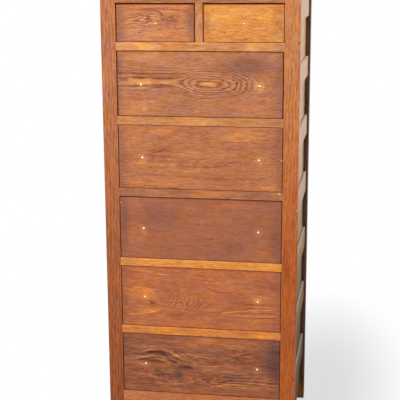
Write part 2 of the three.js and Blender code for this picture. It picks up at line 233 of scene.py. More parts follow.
OAK = {
    "grain": "X",
    "tones": ((214, 142, 84), (176, 106, 62), (112, 62, 38)),  # light, middle and dark wood
    "base": 0.42,  # where the board lies between its light and its dark tone
    "spacing": 4,  # between rings
    "phase": 0,  # how many rings the count is shifted by
    "pith": ((0, 0), (1, 4)),  # height of the pith at shares of the length
    "depth": ((0, 50), (1, 60)),  # how far the pith lies behind the face, likewise
    "wander": 12,  # how far the pith strays to either side of that
    "ring": 0.4,  # how much darker the early wood of a ring is
    "ragged": 0.8,  # how far rings wobble, in spacings
    "figure": (),  # ellipses where rings show most: x, z and the two radii
    "streak": 0.5,  # how much long streaks, fibres, flecks and large blotches change the colour
    "fibre": 1.0,
    "fleck": 0.15,
    "blotch": 0.45,
    "wave": 16,  # how far the grain lines wander sideways
    "patches": (),  # tinted ellipses: x, z, the two radii and the tint
    "mottle": (),  # ellipses with short dark and pale dashes: x, z and the two radii
    "veins": (),  # tinted lines: points (x, z), half the width and the tint
    "marks": (),  # small scuffs, cracks and dots: x, z, the two radii, colour and strength
    "screws": (),  # knob screws: x, z and the strength of the halo round them
    "proud": 0,  # how far the screws stand out from the face
    "ends": 0.0,  # how much the two ends are darkened by handling and given a painted cool reflection
    "dirt": (0, 0, 0, 0),  # along the left, right, lower and upper edges of the face
    "gap": 0.9,  # how much painted shade and dirt darken the surfaces behind the face, in the gaps
    "start_shade": (1, 1, 1),  # painted shade where the grain starts: the left end or the foot
    "start_range": (0, 1),  # shares of the length between which that shade fades
    "planted": 0,  # beyond this distance from the middle plane, rails run across the board
    "foot_dull": 0,  # how much duller the varnish is where the grain starts
    "recess": 0,  # how dark the painted shade is on the surface that faces the front, in its recess
    "boards": (),  # in a panel of several: how many, and how far the dirt reaches from a seam
    "specular": 0.10,
    "gloss": 0.38,  # the varnish's roughness between its pores
    "coat": 0.06,
}

# Noises that run with the grain: waves per metre along, across and into the board, and where they
# aren't the usual ones the detail, the roughness and the distortion
NOISES = {
    "wave": ((8, 14, 14), 1),
    "sway": ((6, 2, 2),),
    "ragged": ((16, 70, 70), 3, 0.6),
    "feathered": ((14, 260, 260), 1),
    "streak": ((12, 130, 130), 3, 0.6),
    "fibre": ((50, 300, 300), 3, 0.7),
    "fleck": ((110, 380, 380), 1),
    "pores": ((60, 1500, 1500), 1),
    "blotch": ((6, 14, 14), 3, 0.55, 0.6),
    "hue": ((17, 30, 30), 2),
    "dashes": ((48, 200, 200), 2, 0.6),
}
SEED_SHIFT = (3.17, 1.31, 0.73)  # between the places of two nodes in the noises
BOARD_SHIFT = (0.41, 0.13)  # between those of two boards of one panel, along and across
BOARD_STEP = 0.618  # between two boards' own numbers, which go round from 0 to 1
PANEL_STEP = 0.37  # between those of two panels, for each seed

# Growth rings
PITH_REACH = 200 * MM  # the furthest that a pith lies from the middle of the face
FEATHERED = 0.75  # how far the finest wobble reaches, in spacings
OFF_CENTRE = 0.8  # how far the boards of a panel are cut off their pith, in widths
UNEVEN_WAVES = (0.37, 1, 1)  # per ring, in how the rings' widths differ
SEASON = ((0, 1), (0.20, 0.85), (0.44, 0.15), (0.8, 0.03), (0.94, 0.6), (1, 1))  # a ring's darkness

# Where ellipses, veins, their tips and seams begin to fade, in shares of half their size
PATCH_CORE, FIGURE_CORE, MARK_CORE = 0.15, 0.5, 0.3
VEIN_CORE, VEIN_TIP = 0.2, 0.75
SEAM_CORE, SEAM_AMOUNT = 0.3, 0.8

# Values of a noise between which what it draws fades in
FLECK_FADES = (0.60, 0.72)
PORE_FADES = (0.56, 0.68)
HUE_FADES = FIBRE_FADES = (0.3, 0.7)
DARK_DASH_FADES = (0.50, 0.57)
PALE_DASH_FADES = (0.43, 0.50)

# How much of a noise the colour, the roughness and the height of the surface take
OUTSIDE_FIGURE = 0.15  # how much of the rings shows outside the ellipses where they show most
FRAYED = 0.8  # how much the fibres break up the rings
MEAN_RING = 0.3
EARLY_PORES = 0.6  # the share of the pores that only the early wood has
FIBRE_WEIGHT = 0.18
PORE_WEIGHT = 0.2
TONE_STOPS = (0, 0.45, 1)  # where a board's three tones lie
ROUGHNESS = {"blotch": 0.14, "pores": 0.2, "fleck": 0.06}
MEAN_ROUGHNESS = 0.07  # what the blotches add on average
HEIGHT = {"fibre": 0.35, "pores": -0.6, "ring": -0.2}
GRAIN_RELIEF = (0.35, 0.25 * MM)  # strength and depth
COAT_ROUGHNESS = 0.25

# How far noises move the outlines of what is drawn
RIM_WANDER = 0.9  # of an ellipse, in shares of its radius
VEIN_WANDER = 7 * MM
RUBBED_WANDER = 3 * MM
GRIME_WANDER = (3 * MM, 2 * MM)  # by blotches and by fibres
END_WANDER = 30 * MM
START_WANDER = 0.3  # in shares of the length

# Tints laid over the wood
WARM, COOL = (1.05, 1.03, 0.88), (0.95, 0.97, 1.12)
PALE_FIBRE, DARK_FIBRE = (1.06, 1.24, 1.62), (0.93, 0.76, 0.40)
DARK_DASH, PALE_DASH = (0.62, 0.56, 0.50), (1.30, 1.20, 1.18)
DIM_BOARD, CLEAR_BOARD = (0.93, 0.92, 0.92), (1.09, 1.08, 1.05)
SEAM_DIRT = (0.30, 0.22, 0.16)
HANDLING_AND_REFLECTION = (0.60, 0.68, 0.96)
GHOST, GHOST_RIM = (1.16, 1.36, 1.10), (1.14, 1.16, 1.14)
GRIME = (0.62, 0.25, 0.07)
RECESS_SHADE = (0.27, 0.40, 0.70)
CORNER_SHADE = (0.34, 0.38, 0.44)
GAP_SHADE_AND_DIRT = (0.36, 0.12, 0.05)
LEDGE_DUST_AND_SHEEN = (200, 182, 164)

# Distances between which the traces of age and the painted shade fade: from a knob screw, an edge, an
# end or the face
GHOST_FADES = (6 * MM, 16 * MM)
RIM_STARTS, RIM_ENDS = (8 * MM, 10.5 * MM), (10.5 * MM, 13.5 * MM)
RUBBED_FADES = (0.3 * MM, 1.6 * MM)
RUBBED_AMOUNT = 0.2
GRIME_FADES = (0.8 * MM, 3.8 * MM)
HANDLING_AND_REFLECTION_FADES = (34 * MM, 2 * MM)
RECESS_FADES = (1 * MM, 50 * MM)
GAP_STARTS, GAP_ENDS = (0.7 * MM, 1.8 * MM), (6 * MM, 18 * MM)
CORNER_REACH = (0.5 * MM, 3 * MM)
UPWARD_FADES = (0.5, 0.9)  # height of the surface's normal between which dust and painted sheen come onto it
DUST_AND_SHEEN_AMOUNT = 0.8
GRIME_DULLS = 0.3


class Board:
    """Where a point lies in a board between two corners, and the noises that run with its grain."""

    def __init__(self, g, low, high, seed, look):
        self.g, self.look, self.seed = g, look, seed
        self.low, self.size = low, high - low
        self.place = g.node("ShaderNodeTexCoord").outputs["Object"]
        self.axes = g.split(g.vector("SUBTRACT", self.place, tuple((low + high) / 2)))
        order = GRAIN_AXES[look["grain"]]
        self.length, self.width = self.size[order[0]], self.size[order[1]]
        self.along, self.across, self.deep = (self.axes[i] for i in order)
        self.share = g.total(g.math("DIVIDE", self.along, self.length), 0.5)
        if look["planted"]:
            self.turn_planted_rails()

        shift = tuple(seed * step for step in SEED_SHIFT)
        self.wood = g.vector("ADD", g.join(self.along, self.across, self.deep), shift)
        wave = g.swing(self.noise("wave"), look["wave"] * MM)
        self.wood = g.vector("ADD", self.wood, g.join(0.0, wave, 0.0))
        self.from_pith, self.grown = self.across, self.share
        if look["boards"]:
            self.part_into_boards()

        self.ring = self.growth_rings()
        self.streak = self.noise("streak")
        self.fibre = self.noise("fibre")
        self.fleck = g.smooth(self.noise("fleck"), *FLECK_FADES)
        pores = g.smooth(self.noise("pores"), *PORE_FADES)
        early = g.total(g.times(self.ring, EARLY_PORES), 1 - EARLY_PORES)
        self.pores = g.times(pores, early)
        self.blotch = self.noise("blotch")
        ragged_share = g.total(self.share, g.swing(self.blotch, START_WANDER))
        self.near_start = g.smooth(ragged_share, *look["start_range"], 1.0, 0.0)

    def noise(self, name):
        return self.g.noise(self.wood, *NOISES[name])

    def weighted(self, weights):
        """The sum of the board's own noises, each times its weight."""
        terms = [self.g.times(getattr(self, name), weight) for name, weight in weights.items()]
        return self.g.total(*terms)

    def turn_planted_rails(self):
        """Swaps the directions in the rails that are planted across a side."""
        g = self.g
        self.outward = g.math("ABSOLUTE", g.split(self.place)[0])
        rail = g.math("GREATER_THAN", self.outward, self.look["planted"] * MM)
        along, across = self.along, self.across
        self.along = g.pick(rail, along, across)
        self.across = g.pick(rail, across, along)

    def part_into_boards(self):
        """Gives each board of a panel its own place in the noises, its own pith and its own end."""
        g = self.g
        count = self.look["boards"][0]
        self.board_width = self.width / count
        in_row = g.total(g.math("DIVIDE", self.across, self.board_width), count / 2)
        number = g.math("FLOOR", in_row)
        self.within = g.math("FRACT", in_row)
        self.own = g.math("FRACT", g.total(g.times(number, BOARD_STEP), self.seed * PANEL_STEP))
        shift = g.join(g.times(number, BOARD_SHIFT[0]), g.times(number, BOARD_SHIFT[1]), 0.0)
        self.wood = g.vector("ADD", self.wood, shift)
        off_centre = g.swing(self.own, OFF_CENTRE * self.board_width)
        self.from_pith = g.total(g.swing(self.within, self.board_width), off_centre)
        turned = g.times(g.math("FRACT", g.times(number, 0.5)), 2.0)
        grown = g.pick(turned, self.share, g.minus(1.0, self.share))
        self.grown = g.total(grown, g.swing(self.own, 0.5))

    def growth_rings(self):
        """Rings round a wandering pith: 1 in the dark early wood, 0 in the pale late wood."""
        g, look = self.g, self.look
        spacing = look["spacing"] * MM
        pith = along_curve(g, self.grown, look["pith"], -PITH_REACH, PITH_REACH)
        depth = along_curve(g, self.grown, look["depth"], 0.0, PITH_REACH)
        sway = g.swing(self.noise("sway"), look["wander"] * 2 * MM)
        sideways = g.minus(g.minus(self.from_pith, pith), sway)
        radius = g.total(
            g.length(sideways, g.total(self.deep, depth)),
            g.swing(self.noise("ragged"), spacing * look["ragged"]),
            g.swing(self.noise("feathered"), spacing * FEATHERED),
        )
        turns = g.total(g.math("DIVIDE", radius, spacing), look["phase"])
        uneven = g.noise(g.join(turns, float(self.seed), 0.0), UNEVEN_WAVES, 1)
        season = g.math("FRACT", g.total(turns, g.swing(uneven, 1.0)))
        return g.curve(season, SEASON)


def along_curve(g, share, points, low, high):
    """A curve along the board through real heights that lie between low and high."""
    unit = [(x, (y * MM - low) / (high - low)) for x, y in points]
    return g.total(g.times(g.curve(share, unit), high - low), low)


def ellipse(board, x, z, rx, rz, ragged, core=PATCH_CORE):
    """1 in the core of an ellipse on the face, falling softly to 0 at its ragged rim."""
    g = board.g
    away = g.away(board.along, board.across, (x * MM, z * MM), (rx * MM, rz * MM))
    away = g.total(away, g.swing(ragged, RIM_WANDER))
    return g.smooth(away, core, 1.0, 1.0, 0.0)


def vein(board, points, width):
    """1 on a wavy line through points (x, z) on the face, falling softly to 0 either side."""
    g = board.g
    first, last = points[0][0], points[-1][0]
    reach = max(abs(z) for _, z in points) + 1
    share = g.math("DIVIDE", g.minus(board.along, first * MM), (last - first) * MM)
    unit = [((x - first) / (last - first), z) for x, z in points]
    line = along_curve(g, share, unit, -reach * MM, reach * MM)
    off = g.minus(g.total(board.across, g.swing(board.streak, VEIN_WANDER)), line)
    near = g.smooth(g.math("ABSOLUTE", off), VEIN_CORE * width * MM, width * MM, 1.0, 0.0)
    tip = g.math("ABSOLUTE", g.swing(share, 2.0))
    return g.times(near, g.smooth(tip, VEIN_TIP, 1.0, 1.0, 0.0))


def nearest_edge(g, axes, size):
    """How far a point on a board's surface lies from the board's nearest arris."""
    gaps = [g.minus(side / 2, g.math("ABSOLUTE", axis)) for axis, side in zip(axes, size)]
    wider = g.math("MAXIMUM", gaps[0], gaps[1])
    narrower = g.math("MINIMUM", gaps[0], gaps[1])
    return g.math("MAXIMUM", narrower, g.math("MINIMUM", wider, gaps[2]))


def wood_color(board):
    """The wood's own colour, from its rings, streaks, fibres, blotches, flecks and pores."""
    g, look = board.g, board.look
    strength = look["ring"]
    if look["figure"]:
        areas = [ellipse(board, *area, board.blotch, FIGURE_CORE) for area in look["figure"]]
        weakest = strength * OUTSIDE_FIGURE
        strength = g.total(g.times(g.most(*areas), strength - weakest), weakest)
    broken = g.times(board.ring, g.total(g.times(board.fibre, FRAYED), 1 - FRAYED / 2))
    dark = g.total(
        g.times(g.total(broken, -MEAN_RING), strength),
        g.swing(board.streak, look["streak"]),
        g.swing(board.fibre, look["fibre"] * FIBRE_WEIGHT),
        g.swing(board.blotch, look["blotch"]),
        g.times(board.fleck, look["fleck"]),
        g.times(board.pores, PORE_WEIGHT),
        look["base"],
    )
    color = g.ramp(dark, TONE_STOPS, look["tones"])
    hue = g.smooth(board.noise("hue"), *HUE_FADES)
    color = g.blend("MULTIPLY", 1.0, color, g.blend("MIX", hue, (*WARM, 1), (*COOL, 1)))
    fibre = g.smooth(board.fibre, *FIBRE_FADES)
    fibre_tint = g.blend("MIX", fibre, (*PALE_FIBRE, 1), (*DARK_FIBRE, 1))
    return g.blend("MULTIPLY", look["fibre"], color, fibre_tint)


def add_seams(board, color):
    """Tells the boards of one panel apart, with a dark line between them."""
    g = board.g
    seam_reach = board.look["boards"][1] * MM
    board_tint = g.blend("MIX", board.own, (*DIM_BOARD, 1), (*CLEAR_BOARD, 1))
    color = g.blend("MULTIPLY", 1.0, color, board_tint)
    off_seam = g.minus(0.5, g.math("ABSOLUTE", g.swing(board.within, 1.0)))
    off_seam = g.times(off_seam, board.board_width)
    seam = g.smooth(off_seam, SEAM_CORE * seam_reach, seam_reach, SEAM_AMOUNT, 0.0)
    return g.tint(color, seam, SEAM_DIRT)


def screw_halo(board, color, x, z, amount):
    """The pale round ghost that a knob leaves on the varnish, with a paler rim."""
    g = board.g
    away = g.away(board.along, board.across, (x * MM, z * MM))
    color = g.tint(color, g.smooth(away, *GHOST_FADES, amount, 0.0), GHOST)
    rim = g.times(g.smooth(away, *RIM_STARTS), g.smooth(away, *RIM_ENDS, amount, 0.0))
    return g.tint(color, rim, GHOST_RIM)


def add_figure(board, color):
    """What only this board has: painted shade where its grain starts, tinted areas, mottling, veins,
    ends darkened by handling and painted reflection, ghosts of knobs and scuffs.
    """
    g, look = board.g, board.look
    # Painted shade, darker towards where the grain starts
    color = g.tint(color, board.near_start, look["start_shade"])
    for x, z, rx, rz, tint in look["patches"]:
        color = g.tint(color, ellipse(board, x, z, rx, rz, board.streak), tint)
    for area in look["mottle"]:
        dashes = board.noise("dashes")
        inside = ellipse(board, *area, board.streak)
        color = g.tint(color, g.times(g.smooth(dashes, *DARK_DASH_FADES), inside), DARK_DASH)
        color = g.tint(color, g.times(g.smooth(dashes, *PALE_DASH_FADES, 1.0, 0.0), inside), PALE_DASH)
    for points, width, tint in look["veins"]:
        color = g.tint(color, vein(board, points, width), tint)
    # The ends, darkened by handling and tinted with a painted cool reflection
    if look["ends"]:
        starts, ends = (board.length / 2 - reach for reach in HANDLING_AND_REFLECTION_FADES)
        end = g.total(g.math("ABSOLUTE", board.along), g.swing(board.blotch, END_WANDER))
        color = g.tint(color, g.smooth(end, starts, ends, 0.0, look["ends"]), HANDLING_AND_REFLECTION)
    for x, z, amount in look["screws"]:
        color = screw_halo(board, color, x, z, amount)
    for x, z, rx, rz, tone, amount in look["marks"]:
        area = g.times(ellipse(board, x, z, rx, rz, board.fibre, MARK_CORE), amount)
        color = g.blend("MIX", area, color, srgb(*tone))
    return color


def dust_and_sheen_on_ledges(board, color):
    """Dust and painted sheen on the tops of the rails planted on a side, and painted shade in the corner
    between them and its board.
    """
    g = board.g
    normal = g.node("ShaderNodeTexCoord").outputs["Normal"]
    upward = g.smooth(g.split(normal)[2], *UPWARD_FADES)
    starts, ends = (board.look["planted"] * MM + reach for reach in CORNER_REACH)
    clear = g.smooth(board.outward, starts, ends)
    # The rails' upward faces: dust, with a painted pale sheen
    color = g.blend("MIX", g.times(upward, clear, DUST_AND_SHEEN_AMOUNT), color, srgb(*LEDGE_DUST_AND_SHEEN))
    # Painted shade in the corner where the rails meet the board
    corner = g.times(upward, g.minus(1.0, clear))
    return g.tint(color, corner, CORNER_SHADE)


def add_age_and_painted_shade(board, color):
    """Rubbed arrises, dirt along the face's edges, dust with painted sheen, and painted shade in
    recesses, corners and gaps.

    Gives back the colour and how much duller the varnish is there."""
    g, look = board.g, board.look
    edge = nearest_edge(g, board.axes, board.size)
    edge = g.total(edge, g.swing(board.fibre, RUBBED_WANDER))
    rubbed = g.smooth(edge, *RUBBED_FADES, RUBBED_AMOUNT, 0.0)
    color = g.blend("MIX", rubbed, color, srgb(*look["tones"][0]))

    distances = []
    for i in (0, 2):
        half = board.size[i] / 2
        distances += [g.total(board.axes[i], half), g.minus(half, board.axes[i])]
    dull = g.times(board.near_start, look["foot_dull"])
    by_blotch, by_fibre = GRIME_WANDER
    for amount, distance in zip(look["dirt"], distances):
        if amount:
            near = g.total(distance, g.swing(board.blotch, by_blotch), g.swing(board.fibre, by_fibre))
            grime = g.smooth(near, *GRIME_FADES, amount, 0.0)
            color = g.tint(color, grime, GRIME)
            dull = g.total(dull, g.times(grime, GRIME_DULLS))

    behind = g.minus(g.split(board.place)[1], board.low[1])
    # Painted shade on the surface that faces the front, in its recess, fading back from the front face
    # and left off at the foot
    if look["recess"]:
        shaded = g.smooth(behind, *RECESS_FADES, look["recess"], 0.0)
        shaded = g.times(shaded, g.minus(1.0, board.near_start))
        color = g.tint(color, shaded, RECESS_SHADE)
    if look["planted"]:
        color = dust_and_sheen_on_ledges(board, color)
    # Painted shade and dirt on the surfaces just behind the face, in the gaps round it
    if look["gap"]:
        inside = g.smooth(behind, *GAP_STARTS, 0.0, look["gap"])
        gap = g.times(inside, g.smooth(behind, *GAP_ENDS, 1.0, 0.0))
        color = g.tint(color, gap, GAP_SHADE_AND_DIRT)
    return color, dull


def oak(name, low, high, seed, look):
    """Ring-porous oak, varnished or bare, for a board between two corners."""
    material, g = new_material(name)
    board = Board(g, low, high, seed, look)
    color = wood_color(board)
    if look["boards"]:
        color = add_seams(board, color)
    color = add_figure(board, color)
    color, dull = add_age_and_painted_shade(board, color)

    shader = g.node("ShaderNodeBsdfPrincipled", {
        "Base Color": color,
        "Roughness": g.total(board.weighted(ROUGHNESS), look["gloss"] - MEAN_ROUGHNESS, dull),
        "Specular IOR Level": look["specular"],
        "Coat Weight": look["coat"],
        "Coat Roughness": COAT_ROUGHNESS,
    })
    finish_surface(g, shader, board.weighted(HEIGHT), *GRAIN_RELIEF)
    return material


# Looks of the boards, where they differ from OAK
RAIL = dict(ring=0.2, fibre=1.6)
# A pale line along the top arris of the lower dividers: wear, with a painted highlight
LIP_WEAR_AND_HIGHLIGHT = (((-236, 8.5), (0, 9), (236, 9)), 3.5, PALE)
WIDE_FRONT = dict(proud=1.5, screws=((-166.5, -3, 0.6), (169.5, -3, 1)))
LOOKS = {}
# On the front posts the start shade paints them darker and redder towards the foot
LOOKS["post_front_left"] = dict(
    grain="Z", tones=((207, 138, 94), (183, 113, 72), (131, 73, 52)), ring=0.25, spacing=6,
    pith=((0, -60), (1, -40)), depth=((0, 90), (1, 70)),
    start_shade=(0.76, 0.55, 0.40), fibre=1.5,
    marks=((-370, -20, 5, 3, (230, 190, 150), 0.8),),
)
LOOKS["post_front_right"] = dict(
    grain="Z", tones=((223, 155, 99), (198, 127, 76), (144, 78, 52)), ring=0.2, spacing=6,
    pith=((0, 50), (1, 70)), depth=((0, 80), (1, 90)), fibre=1.1, blotch=0.55,
    start_shade=(0.86, 0.54, 0.32), start_range=(0.38, 0.98),
    patches=((130, 14, 80, 10, RED), (-60, -6, 100, 14, RED)),
    marks=(
        (560, 19, 5, 3, (96, 40, 12), 0.8), (395, 20, 4, 2, (240, 200, 160), 0.7),
        (262, 20, 6, 2, (96, 40, 12), 0.7), (90, 20, 4, 2, (240, 196, 150), 0.7),
        (-64, 20, 6, 2, (96, 40, 12), 0.7), (-230, 20, 4, 2, (240, 196, 150), 0.6),
        (-420, 19, 6, 2.5, (96, 40, 12), 0.7), (180, -8, 3, 2, (110, 47, 14), 0.7),
    ),
)
# On the rear posts, painted shade darkens the face that looks forward into the recess, and the start
# shade paints the foot darker
LOOKS["post_rear_left"] = LOOKS["post_rear_right"] = dict(
    grain="Z", tones=((210, 142, 92), (182, 112, 68), (128, 70, 48)), recess=1.0, gap=0,
    start_shade=(0.70, 0.66, 0.45), start_range=(0.02, 0.06),
)
LOOKS["top"] = dict(
    grain="flat", tones=((222, 148, 90), (182, 110, 66), (122, 68, 42)), ring=0.5, boards=(4, 0.8),
    depth=((0, 70), (0.3, 52), (0.55, 46), (0.8, 60), (1, 66)), wander=10, gap=0,
)
LOOKS["top_rail"] = dict(tones=((192, 131, 94), (171, 109, 73), (127, 77, 52)))
LOOKS["muntin"] = dict(**RAIL, grain="Z", tones=((212, 147, 98), (197, 130, 80), (148, 94, 61)))
LOOKS["divider_1"] = dict(
    **RAIL, tones=((231, 160, 97), (209, 138, 83), (164, 103, 66)), blotch=0.8,
    patches=(
        (-150, 0, 50, 20, GOLD), (-80, 0, 34, 20, GOLD), (150, 0, 30, 20, GOLD), (225, 0, 36, 20, MAUVE),
    ),
)
LOOKS["divider_2"] = dict(
    **RAIL, tones=((219, 150, 97), (199, 131, 81), (156, 99, 63)),
    patches=((-20, 0, 120, 20, GOLD), (225, 0, 40, 20, MAUVE)),
)
LOOKS["divider_3"] = dict(
    **RAIL, tones=((205, 135, 92), (181, 113, 74), (134, 84, 59)),
    patches=((170, 0, 80, 20, MAUVE), (-200, 0, 60, 20, MAUVE), (20, 0, 60, 20, ORANGE)),
    marks=((228, 8, 7, 3, (236, 192, 156), 0.9),),
)
LOOKS["divider_4"] = dict(
    tones=((246, 167, 87), (226, 145, 69), (182, 104, 55)), ring=0.15, fibre=1.4,
    patches=((-210, 0, 40, 20, MAUVE),),
    veins=(LIP_WEAR_AND_HIGHLIGHT,),
)
LOOKS["divider_5"] = dict(
    tones=((243, 159, 86), (218, 131, 64), (170, 96, 52)), ring=0.2, fibre=1.4,
    patches=((-100, 0, 60, 20, GOLD), (180, 0, 60, 20, GOLD)),
    veins=(LIP_WEAR_AND_HIGHLIGHT,),
)
LOOKS["bottom_rail"] = dict(tones=((221, 141, 88), (204, 121, 73), (150, 88, 57)), ring=0.3)
# On the sides the start shade paints them darker towards the foot, and their pale, greyish tones are
# partly painted sheen
LOOKS["side_left"] = LOOKS["side_right"] = dict(
    grain="Z", tones=((198, 160, 109), (171, 133, 91), (121, 90, 63)), ring=0.3, gap=0,
    planted=265.5, specular=0.3, start_shade=(0.28, 0.25, 0.26), start_range=(0, 0.6), foot_dull=0.5,
)
LOOKS["drawer_1_left_front"] = dict(
    tones=((219, 146, 96), (192, 121, 79), (136, 83, 57)), ring=0.7, spacing=4.4, wander=3,
    pith=((0, 2), (0.25, 6), (0.5, 14), (0.65, 10), (1, 18)),
    depth=((0, 23), (0.3, 20), (0.43, 15), (0.5, 13), (0.57, 15), (0.66, 26), (0.78, 46), (1, 62)),
    figure=((-14, 6, 88, 34),), ends=0.8, dirt=(1, 1, 0.4, 1),
    proud=1.5, screws=((1.5, -3, 0.5),),
    mottle=((48, 10, 26, 22), (-20, 4, 24, 20)),
    patches=(
        (2, 14, 20, 16, GOLD), (-94, -10, 22, 60, MAUVE), (100, 4, 24, 60, MAUVE),
        (-52, 31, 34, 7, ORANGE), (6, -26, 50, 16, GOLD), (36, 2, 12, 20, MAUVE),
    ),
    veins=(
        (((-36, 38), (-14, 36), (6, 32), (20, 24), (28, 12)), 4, SEPIA),
        (((8, 28), (34, 30), (64, 31)), 4, GOLD), (((-60, 46), (20, 47), (106, 45)), 4, ORANGE),
        (((-78, 21), (-48, 21), (-20, 18), (-10, 10)), 2.5, SEPIA),
        (((-60, 34), (-14, 40), (50, 37), (104, 33)), 2.5, SEPIA),
    ),
    marks=(
        (-45, -27, 4, 2.5, (104, 49, 21), 0.9), (18, 22, 4, 2.5, (104, 49, 21), 0.8),
        (24, 9, 4, 4, (112, 52, 22), 0.8), (57, -11, 3.5, 2.5, (112, 49, 21), 0.8),
        (16, -41, 4, 2.5, (130, 65, 25), 0.7),
    ),
)
LOOKS["drawer_1_right_front"] = dict(
    tones=((238, 164, 88), (218, 143, 73), (176, 103, 56)), base=0.40, ring=0.5, spacing=3.7,
    streak=0.7, wander=3,
    pith=((0, -88), (0.4, -92), (0.7, -86), (1, -92)), depth=((0, 20), (1, 20)),
    figure=((0, -24, 150, 36),), ends=0.3, dirt=(1, 0.1, 0.2, 1),
    proud=1.5, screws=((1.5, -3, 0.3),),
    patches=(
        (-50, 16, 80, 14, HONEY), (66, 18, 44, 14, HONEY), (92, -2, 24, 46, MAUVE),
        (96, 36, 24, 10, RED), (0, -46, 24, 8, RED), (-100, 0, 14, 50, MAUVE),
    ),
    marks=(
        (-53, -25, 4, 3, (130, 59, 19), 0.9), (8, -43, 4, 3, (140, 63, 20), 0.9),
        (92, -1, 5, 3, (176, 88, 52), 0.9), (102, -8, 4, 3, (176, 82, 48), 0.8),
        (30, 11, 5, 2, (160, 84, 40), 0.8), (-86, 33, 4, 6, (190, 112, 60), 0.6),
        (62, -17, 6, 2.5, (180, 100, 56), 0.7), (8, 18, 3, 4, (190, 116, 58), 0.6),
    ),
)
LOOKS["drawer_2_front"] = dict(
    **WIDE_FRONT,
    tones=((206, 138, 93), (181, 117, 82), (132, 76, 50)), spacing=6, phase=1.9, ring=0.7,
    wander=2, ragged=1.1,
    pith=((0, 5), (0.2, 5), (0.38, 5), (0.5, 2), (0.57, 1), (0.8, 0), (1, -2)),
    depth=(
        (0, 40), (0.266, 40), (0.351, 39.2), (0.398, 36.6), (0.443, 30.6), (0.483, 24.6), (0.521, 22.4),
        (0.56, 21.8), (0.598, 22.4), (0.632, 24.6), (0.687, 30.6), (0.728, 36.6), (0.757, 42.6),
        (0.789, 48.6), (0.819, 54.6), (0.904, 66), (1, 80),
    ),
    figure=((44, 2, 150, 58), (-130, 14, 160, 40)), ends=0.6, dirt=(0.8, 1, 0.5, 0.3),
    patches=(
        (130, 50, 110, 38, UMBER), (28, 1, 50, 10, GOLD), (26, 1, 34, 8, GOLD), (172, -4, 36, 24, GOLD),
        (-170, -62, 90, 34, ORANGE), (130, -56, 90, 34, ORANGE), (215, 4, 12, 16, RED),
        (-150, 76, 80, 16, GOLD), (-60, -60, 80, 20, MAUVE), (-226, 30, 16, 60, MAUVE),
        (-228, 15, 30, 9, BRIGHT),
    ),
    veins=(
        (((-256, 18), (-212, 15), (-160, 9), (-110, 6), (-52, 6)), 11, GOLD),
        (((-204, 3), (-150, 4), (-70, 4)), 5, ORANGE),
        (((-216, 35), (-160, 26), (-110, 22), (-60, 25), (-30, 32)), 3, SEPIA),
        (((-206, 22), (-150, 20), (-110, 15), (-58, 13)), 2, SEPIA),
        (((-150, -13), (-104, -9), (-62, -15), (-16, -30)), 2, SEPIA),
        (((-96, -22), (-56, -27), (-6, -37)), 2, SEPIA),
    ),
    marks=((-158, -72, 9, 9, (214, 170, 136), 0.5),),
)
LOOKS["drawer_3_front"] = dict(
    **WIDE_FRONT,
    tones=((212, 139, 89), (187, 116, 76), (138, 80, 54)), spacing=5.6, ring=0.38,
    wander=5, ragged=1.3,
    pith=((0, -20), (0.35, -24), (0.5, -25), (0.62, -22), (0.71, -14), (0.8, -24), (1, -26)),
    depth=((0, 62), (0.3, 50), (0.5, 32), (0.64, 20), (0.71, 15), (0.8, 26), (0.9, 44), (1, 60)),
    figure=((70, 6, 136, 42),), ends=0.6, dirt=(0.2, 0.2, 0.2, 0.1), gap=0.15,
    mottle=((-116, 12, 52, 36),),
    patches=(
        (-112, 56, 46, 12, MAUVE), (18, 54, 22, 30, MAUVE), (-216, 0, 34, 34, MAUVE),
        (-112, 10, 60, 40, MAUVE), (-50, -10, 30, 9, MAUVE), (-140, -74, 100, 13, GOLD),
        (120, 66, 110, 24, GOLD), (-30, 10, 44, 12, GOLD), (-20, -36, 50, 7, GOLD),
        (218, 60, 26, 40, MAUVE), (-110, 76, 60, 14, GOLD), (195, -78, 34, 8, GOLD),
    ),
    veins=(
        (
            ((-76, -23), (-30, -25), (30, -25), (62, -22), (86, -12), (106, -8), (126, -14), (148, -26)),
            3, SEPIA,
        ),
        (((40, 30), (110, 28), (170, 33), (230, 38)), 3, MAUVE),
        (((-200, -18), (-130, -21), (-60, -22)), 6, GOLD),
        (((-205, -50), (-110, -52), (-40, -56), (60, -58), (160, -58), (226, -56)), 6, MAUVE),
        (((56, 44), (100, 47), (170, 46)), 2, SEPIA),
        (((-6, 88), (14, 80), (26, 68), (33, 54)), 3, MAUVE),
        (((4, 20), (20, 30), (29, 42), (33, 54)), 3, MAUVE),
    ),
    marks=(
        (-154, 87, 3, 2.5, (96, 43, 19), 0.9), (-148, 80, 3, 3, (96, 43, 19), 0.9),
        (-144, -31, 6, 2.5, (110, 50, 21), 0.8), (234, -1, 4, 3, (240, 200, 170), 0.9),
        (152, 82, 4, 2.5, (124, 59, 24), 0.8), (-86, -8, 5, 4, (214, 150, 116), 0.6),
        (-73, -91, 27, 2.4, (40, 20, 12), 1),
    ),
)
